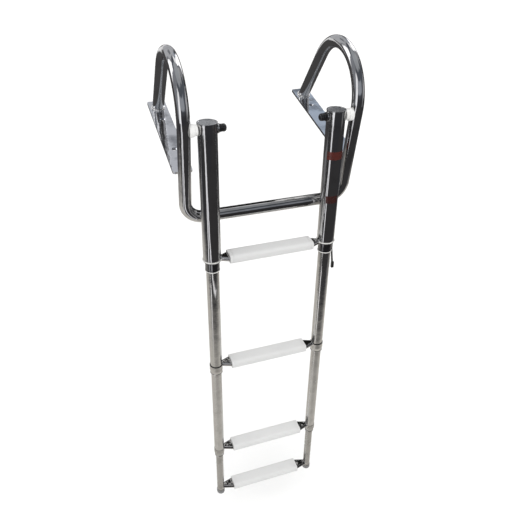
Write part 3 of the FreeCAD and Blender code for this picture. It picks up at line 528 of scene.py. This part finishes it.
def make_moulding_marks():
    """Colour, roughness and height of a plastic moulding: fine pebble, scuffs and dust."""
    tree = bpy.data.node_groups.new("moulding_marks", "ShaderNodeTree")
    for name, kind in (("Plain", "NodeSocketColor"), ("Soiled", "NodeSocketColor"),
                       ("Gloss", "NodeSocketFloat"), ("Scuff", "NodeSocketFloat"),
                       ("Patch Scale", "NodeSocketFloat"), ("Pebble Scale", "NodeSocketFloat"),
                       ("Place", "NodeSocketVector")):
        tree.interface.new_socket(name, in_out="INPUT", socket_type=kind)
    for name, kind in (("Color", "NodeSocketColor"), ("Roughness", "NodeSocketFloat"),
                       ("Height", "NodeSocketFloat")):
        tree.interface.new_socket(name, in_out="OUTPUT", socket_type=kind)
    source = tree.nodes.new("NodeGroupInput")
    sink = tree.nodes.new("NodeGroupOutput")
    patches = tree.nodes.new("ShaderNodeTexNoise")
    patches.inputs["Detail"].default_value = WORN_DETAIL
    tree.links.new(source.outputs["Place"], patches.inputs["Vector"])
    tree.links.new(source.outputs["Patch Scale"], patches.inputs["Scale"])
    worn = step_between(tree, patches.outputs["Fac"], *WORN_EDGE)
    pebble = tree.nodes.new("ShaderNodeTexVoronoi")
    tree.links.new(source.outputs["Place"], pebble.inputs["Vector"])
    tree.links.new(source.outputs["Pebble Scale"], pebble.inputs["Scale"])
    tree.links.new(pebble.outputs["Distance"], sink.inputs["Height"])
    tint = blend_by(tree, worn, source.outputs["Plain"], source.outputs["Soiled"])
    tree.links.new(tint, sink.inputs["Color"])
    rough = sum_of(tree, "MULTIPLY_ADD", worn, source.outputs["Scuff"], source.outputs["Gloss"])
    tree.links.new(rough, sink.inputs["Roughness"])
    return tree


moulding_marks = make_moulding_marks()


def make_moulding(name, plain, soiled, gloss, scuff, patch_scale, pebble_scale, bump):
    """A plastic or rubber moulding."""
    moulding = bpy.data.materials.new(name)
    moulding.use_nodes = True
    tree = moulding.node_tree
    shader = tree.nodes["Principled BSDF"]
    place = tree.nodes.new("ShaderNodeTexCoord")
    marks = tree.nodes.new("ShaderNodeGroup")
    marks.node_tree = moulding_marks
    for socket, value in (("Plain", plain), ("Soiled", soiled), ("Gloss", gloss),
                          ("Scuff", scuff), ("Patch Scale", patch_scale),
                          ("Pebble Scale", pebble_scale)):
        marks.inputs[socket].default_value = value
    tree.links.new(place.outputs["Object"], marks.inputs["Place"])
    tree.links.new(marks.outputs["Color"], shader.inputs["Base Color"])
    tree.links.new(marks.outputs["Roughness"], shader.inputs["Roughness"])
    relief = tree.nodes.new("ShaderNodeBump")
    relief.inputs["Strength"].default_value = bump
    relief.inputs["Distance"].default_value = MOULDING_RELIEF
    tree.links.new(marks.outputs["Height"], relief.inputs["Height"])
    tree.links.new(relief.outputs["Normal"], shader.inputs["Normal"])
    return moulding


white_bush = make_moulding("white_bush", plain=(0.88, 0.875, 0.86, 1.0),
                           soiled=(0.80, 0.79, 0.77, 1.0), gloss=0.35, scuff=0.2,
                           patch_scale=60.0, pebble_scale=1500.0, bump=0.1)
dress(white_bush, "left_pivot_spacer", "right_pivot_spacer")
black_cap = make_moulding("black_cap", plain=(0.012, 0.012, 0.013, 1.0),
                          soiled=(0.03, 0.03, 0.03, 1.0), gloss=0.10, scuff=0.15,
                          patch_scale=80.0, pebble_scale=1500.0, bump=0.05)
dress(black_cap, "left_nut_cap", "right_nut_cap", "left_guide_bush", "right_guide_bush")

# Section 1: the two outer tubes with their pressed top caps, buffed like the handrails, and
# the ferrule that closes each tube's lower end.
LADDER_LEAN = -13.8392
outer_steel = make_steel("outer_steel", clean=(0.62, 0.615, 0.61, 1.0),
                         smudge_and_reflection_tint=(0.52, 0.515, 0.51, 1.0), gloss=0.055, haze=0.07,
                         smudge_and_reflection_scale=26.0, line_scale=700.0, bump=0.25, lean=LADDER_LEAN)
dress(outer_steel, "left_outer_tube", "right_outer_tube")
# The first ferrules' steel is painted dark: a painted reflection of the dark room on their
# necks.
neck_painted_dark_steel = make_steel("neck_painted_dark_steel", clean=(0.26, 0.26, 0.265, 1.0),
                        smudge_and_reflection_tint=(0.18, 0.18, 0.185, 1.0), gloss=0.10, haze=0.10,
                        smudge_and_reflection_scale=60.0, line_scale=700.0, bump=0.25, lean=LADDER_LEAN)
dress(neck_painted_dark_steel, "left_ferrule_1", "right_ferrule_1")
cap_steel = make_steel("cap_steel", clean=(0.46, 0.46, 0.46, 1.0),
                       smudge_and_reflection_tint=(0.34, 0.34, 0.34, 1.0), gloss=0.16, haze=0.2,
                       smudge_and_reflection_scale=90.0, line_scale=500.0, bump=0.2, lean=LADDER_LEAN)
dress(cap_steel, "left_top_cap", "right_top_cap")

# Bright rings: a narrow pale ring round the top of each first ferrule and one under its neck,
# with rounded edges and a plastic finish. Their pale colour is a painted highlight on the lips.
HIGHLIGHT_RING_LEVELS = {"upper": (-0.2815, 0.0191, 0.0017), "lower": (-0.3080, 0.0148, 0.0015)}
HIGHLIGHT_RING_HEIGHT = 0.0018
HIGHLIGHT_RING_ROUND = 0.0006
RING_SIDES = 96
RING_ROUND_STEPS = 4
RING_EDGE_ANGLE = math.radians(50.0)
PIVOT = Vector((0.1755, -0.139736, 0.0978))
TUBE_SPACING = 0.262
LEAN_TURN = math.radians(LADDER_LEAN)
UP_TUBE = Vector((0.0, -math.sin(LEAN_TURN), math.cos(LEAN_TURN)))
SIDES = {"left": -0.5, "right": 0.5}
highlight_ring_white = make_moulding("highlight_ring_white", plain=(0.80, 0.79, 0.77, 1.0),
                           soiled=(0.60, 0.59, 0.57, 1.0), gloss=0.3, scuff=0.2,
                           patch_scale=150.0, pebble_scale=900.0, bump=0.05)


def ring_round_tube(share, level, radius, wall, height, rounding):
    """A ring with rounded edges round one leaning side tube."""
    bpy.ops.object.select_all(action="DESELECT")
    bpy.ops.mesh.primitive_cylinder_add(vertices=RING_SIDES, radius=radius, depth=height,
                                        end_fill_type="NOTHING")
    ring = bpy.context.object
    bake_modifier(ring, "SOLIDIFY", thickness=wall, offset=1.0)
    bake_modifier(ring, "BEVEL", width=rounding, segments=RING_ROUND_STEPS,
                  limit_method="ANGLE", angle_limit=RING_EDGE_ANGLE)
    ring.rotation_euler = (LEAN_TURN, 0.0, 0.0)
    ring.location = PIVOT + Vector((TUBE_SPACING * share, 0.0, 0.0)) + UP_TUBE * level
    return ring


for side, share in SIDES.items():
    for level_name, (level, radius, wall) in HIGHLIGHT_RING_LEVELS.items():
        highlight_ring = ring_round_tube(share, level, radius, wall, HIGHLIGHT_RING_HEIGHT, HIGHLIGHT_RING_ROUND)
        finish(highlight_ring, f"{side}_{level_name}_seal", highlight_ring_white, "section_1")

# Two plain bands of dull red film, cut from a thin roll and stuck round the front of the
# right outer tube. The lower one is darker.
FILM_RADIUS = 0.0191
FILM_THICKNESS = 0.00025
FILM_BANDS = {"upper": (-0.0776, 0.0170, -62.0, 112.0),
              "lower": (-0.1754, 0.0165, -48.0, 34.0)}
FILM_COLOURS = {"upper": ((0.125, 0.031, 0.025, 1.0), (0.075, 0.026, 0.022, 1.0)),
                "lower": ((0.062, 0.022, 0.020, 1.0), (0.040, 0.018, 0.017, 1.0))}
FILM_METALLIC = 0.35
FILM_SIDES = 120


def select_faces(piece, test):
    """Open a mesh for editing with the faces selected whose middle and normal pass a test."""
    bpy.context.view_layer.objects.active = piece
    bpy.ops.object.mode_set(mode="EDIT")
    bpy.context.tool_settings.mesh_select_mode = (False, False, True)
    bpy.ops.mesh.select_all(action="DESELECT")
    bpy.ops.object.mode_set(mode="OBJECT")
    for face in piece.data.polygons:
        face.select = test(face.center, face.normal)
    bpy.ops.object.mode_set(mode="EDIT")


for level_name, (level, height, from_angle, to_angle) in FILM_BANDS.items():
    plain, faded = FILM_COLOURS[level_name]
    red_film = make_moulding(f"{level_name}_red_film", plain=plain, soiled=faded, gloss=0.2,
                             scuff=0.2, patch_scale=120.0, pebble_scale=300.0, bump=0.0)
    film_shader = red_film.node_tree.nodes["Principled BSDF"]
    film_shader.inputs["Metallic"].default_value = FILM_METALLIC
    bpy.ops.object.select_all(action="DESELECT")
    bpy.ops.mesh.primitive_cylinder_add(vertices=FILM_SIDES, radius=FILM_RADIUS, depth=height,
                                        end_fill_type="NOTHING")
    band = bpy.context.object
    select_faces(band, lambda middle, normal: not (
        from_angle < math.degrees(math.atan2(middle.x, -middle.y)) < to_angle))
    bpy.ops.mesh.delete(type="FACE")
    bpy.ops.object.mode_set(mode="OBJECT")
    bake_modifier(band, "SOLIDIFY", thickness=FILM_THICKNESS, offset=1.0)
    band.rotation_euler = (LEAN_TURN, 0.0, 0.0)
    band.location = PIVOT + Vector((TUBE_SPACING / 2, 0.0, 0.0)) + UP_TUBE * level
    finish(band, f"{level_name}_red_band", red_film, "section_1")

# Sections 2 to 4: the sliding tubes and the ferrules that carry their steps. They slide in
# plastic, so their polish is duller and warmer towards the foot of the ladder.
tube_2_steel = make_steel("tube_2_steel", clean=(0.64, 0.63, 0.61, 1.0),
                          smudge_and_reflection_tint=(0.56, 0.55, 0.53, 1.0), gloss=0.11, haze=0.08,
                          smudge_and_reflection_scale=30.0, line_scale=500.0, bump=0.25, lean=LADDER_LEAN)
dress(tube_2_steel, "left_tube_2", "right_tube_2", "left_ferrule_2", "right_ferrule_2")
lower_steel = make_steel("lower_steel", clean=(0.67, 0.66, 0.64, 1.0),
                         smudge_and_reflection_tint=(0.61, 0.60, 0.58, 1.0), gloss=0.22, haze=0.05,
                         smudge_and_reflection_scale=30.0, line_scale=400.0, bump=0.15, lean=LADDER_LEAN)
dress(lower_steel, "left_tube_3", "right_tube_3")
last_steel = make_steel("last_steel", clean=(0.54, 0.53, 0.51, 1.0),
                        smudge_and_reflection_tint=(0.47, 0.46, 0.44, 1.0), gloss=0.24, haze=0.06,
                        smudge_and_reflection_scale=40.0, line_scale=400.0, bump=0.15, lean=LADDER_LEAN)
dress(last_steel, "left_tube_4", "right_tube_4", "left_ferrule_3", "right_ferrule_3")

# Joint rings: a thin dark ring with rounded edges where each second tube enters its ferrule,
# round the tube. Its dark colour is painted shade for the gap at that seam.
JOINT_LEVEL = -0.5776
JOINT_RADIUS = 0.0141
JOINT_WALL = 0.0014
JOINT_HEIGHT = 0.0018
JOINT_ROUND = 0.0005
painted_gap_shade = make_moulding("painted_gap_shade", plain=(0.012, 0.012, 0.012, 1.0),
                             soiled=(0.03, 0.03, 0.03, 1.0), gloss=0.3, scuff=0.2,
                             patch_scale=80.0, pebble_scale=1500.0, bump=0.05)

for side, share in SIDES.items():
    joint_ring = ring_round_tube(share, JOINT_LEVEL, JOINT_RADIUS, JOINT_WALL, JOINT_HEIGHT,
                                 JOINT_ROUND)
    finish(joint_ring, f"{side}_joint_ring", painted_gap_shade, "section_2")

# Step bars: stainless tube flattened under the tread, rounder at its ends, where a small
# weld follows the curve of each side tube.
bar_steel = make_steel("bar_steel", clean=(0.62, 0.61, 0.60, 1.0),
                       smudge_and_reflection_tint=(0.50, 0.49, 0.48, 1.0), gloss=0.03, haze=0.04,
                       smudge_and_reflection_scale=70.0, line_scale=500.0, bump=0.3)
dress(bar_steel, "step_1_bar", "step_2_bar", "step_3_bar", "step_4_bar")
BAR_WELD_HALF = (0.0060, 0.0085)
BAR_WELD_BEAD = 0.0011
BAR_LUMPS = 0.0007
COPED_RADII = {1: 0.01945, 2: 0.0154, 3: 0.0132, 4: 0.0095}


def middle_of(node):
    """The middle of a CAD node's box."""
    low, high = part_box(node)
    return (Vector(low) + Vector(high)) / 2


for number, radius in COPED_RADII.items():
    for side, facing in (("left", math.pi), ("right", 0.0)):
        bar_bead = bead_ring(*BAR_WELD_HALF, BAR_WELD_BEAD)
        bar_bead.rotation_euler = (0.0, math.pi / 2, 0.0)
        bpy.ops.object.transform_apply(location=False, rotation=True, scale=False)
        for corner in bar_bead.data.vertices:
            drop = math.sqrt(max(radius ** 2 - corner.co.y ** 2, 0.0))
            corner.co.x += TUBE_SPACING / 2 - drop
        bake_modifier(bar_bead, "DISPLACE", texture=weld_lumps, strength=BAR_LUMPS,
                      mid_level=LUMP_MIDDLE)
        bar_bead.rotation_euler = (0.0, 0.0, facing)
        bpy.ops.object.transform_apply(location=False, rotation=True, scale=False)
        bar_bead.rotation_euler = (LEAN_TURN, 0.0, 0.0)
        bar_bead.location = middle_of(f"step_{number}_bar")
        finish(bar_bead, f"step_{number}_{side}_bead", weld_steel, f"section_{number}",
               WELD_CREASE)

# Treads: moulded white plastic sleeves pushed over the bars. Each end is closed round the
# bar by a cap with a raised rim, and a fine groove shows where the cap meets the sleeve.
TREAD_SIZE = (0.191, 0.038, 0.020)
TREAD_CORNER = 0.008
TREAD_CORNER_STEPS = 10
TREAD_END_ROUND = 0.0012
TREAD_END_STEPS = 4
TREAD_LINE = (0.0880, 0.0891)
TREAD_LINE_DEPTH = 0.0008
TREAD_END_RIM = 0.0028
TREAD_END_RECESS = 0.0015
TREAD_END_WITHIN = 0.00001
FACES_END = 0.9
FACES_ROUND = 0.5
TREAD_CREASE = 35.0
tread_plastic = make_moulding("tread_plastic", plain=(0.70, 0.70, 0.695, 1.0),
                              soiled=(0.675, 0.675, 0.67, 1.0), gloss=0.45, scuff=0.15,
                              patch_scale=20.0, pebble_scale=1200.0, bump=0.08)


def model_tread():
    """One tread lying flat round the origin."""
    bpy.ops.object.select_all(action="DESELECT")
    bpy.ops.mesh.primitive_cube_add(size=1.0)
    tread = bpy.context.object
    tread.scale = TREAD_SIZE
    bpy.ops.object.transform_apply(location=False, rotation=False, scale=True)
    bpy.ops.object.mode_set(mode="EDIT")
    bpy.context.tool_settings.mesh_select_mode = (False, True, False)
    bpy.ops.mesh.select_all(action="DESELECT")
    bpy.ops.object.mode_set(mode="OBJECT")
    corners = tread.data.vertices
    for edge in tread.data.edges:
        first, last = (corners[index].co for index in edge.vertices)
        edge.select = abs(first.x - last.x) > TREAD_SIZE[0] / 2
    bpy.ops.object.mode_set(mode="EDIT")
    bpy.ops.mesh.bevel(offset=TREAD_CORNER, segments=TREAD_CORNER_STEPS, affect="EDGES")
    bpy.ops.object.mode_set(mode="OBJECT")
    end = TREAD_SIZE[0] / 2
    select_faces(tread, lambda middle, normal: abs(normal.x) > FACES_END)
    bpy.ops.mesh.region_to_loop()
    bpy.ops.mesh.bevel(offset=TREAD_END_ROUND, segments=TREAD_END_STEPS, affect="EDGES")
    bpy.ops.object.mode_set(mode="OBJECT")
    select_faces(tread, lambda middle, normal: abs(middle.x) > end - TREAD_END_WITHIN)
    bpy.ops.mesh.inset(thickness=TREAD_END_RIM)
    bpy.ops.mesh.extrude_region_shrink_fatten(
        TRANSFORM_OT_shrink_fatten={"value": -TREAD_END_RECESS})
    for plane in (-TREAD_LINE[1], -TREAD_LINE[0], TREAD_LINE[0], TREAD_LINE[1]):
        bpy.ops.mesh.select_all(action="SELECT")
        bpy.ops.mesh.bisect(plane_co=(plane, 0.0, 0.0), plane_no=(1.0, 0.0, 0.0))
    bpy.ops.object.mode_set(mode="OBJECT")
    select_faces(tread, lambda middle, normal: (
        TREAD_LINE[0] < abs(middle.x) < TREAD_LINE[1] and abs(normal.x) < FACES_ROUND))
    bpy.ops.mesh.extrude_region_shrink_fatten(
        TRANSFORM_OT_shrink_fatten={"value": -TREAD_LINE_DEPTH})
    bpy.ops.object.mode_set(mode="OBJECT")
    return tread


first_tread = model_tread()
for number in (1, 2, 3, 4):
    bpy.ops.object.select_all(action="DESELECT")
    first_tread.select_set(True)
    bpy.context.view_layer.objects.active = first_tread
    bpy.ops.object.duplicate()
    sleeve = bpy.context.object
    sleeve.rotation_euler = (LEAN_TURN, 0.0, 0.0)
    sleeve.location = middle_of(f"step_{number}_tread")
    finish(sleeve, f"step_{number}_sleeve", tread_plastic, f"section_{number}",
           TREAD_CREASE)
    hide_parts(f"step_{number}_tread")
bpy.data.objects.remove(first_tread)

# Foot caps of grey rubber pushed over the ends of the last tubes, and the black strap, which
# is moulded in one piece with its pull tab and hangs from the right ferrule.
foot_rubber = make_moulding("foot_rubber", plain=(0.20, 0.20, 0.20, 1.0),
                            soiled=(0.26, 0.25, 0.24, 1.0), gloss=0.6, scuff=0.2,
                            patch_scale=60.0, pebble_scale=1200.0, bump=0.3)
dress(foot_rubber, "left_foot_cap", "right_foot_cap")
strap_rubber = make_moulding("strap_rubber", plain=(0.012, 0.012, 0.012, 1.0),
                             soiled=(0.03, 0.03, 0.03, 1.0), gloss=0.4, scuff=0.2,
                             patch_scale=80.0, pebble_scale=1500.0, bump=0.2)
dress(strap_rubber, "retaining_strap")
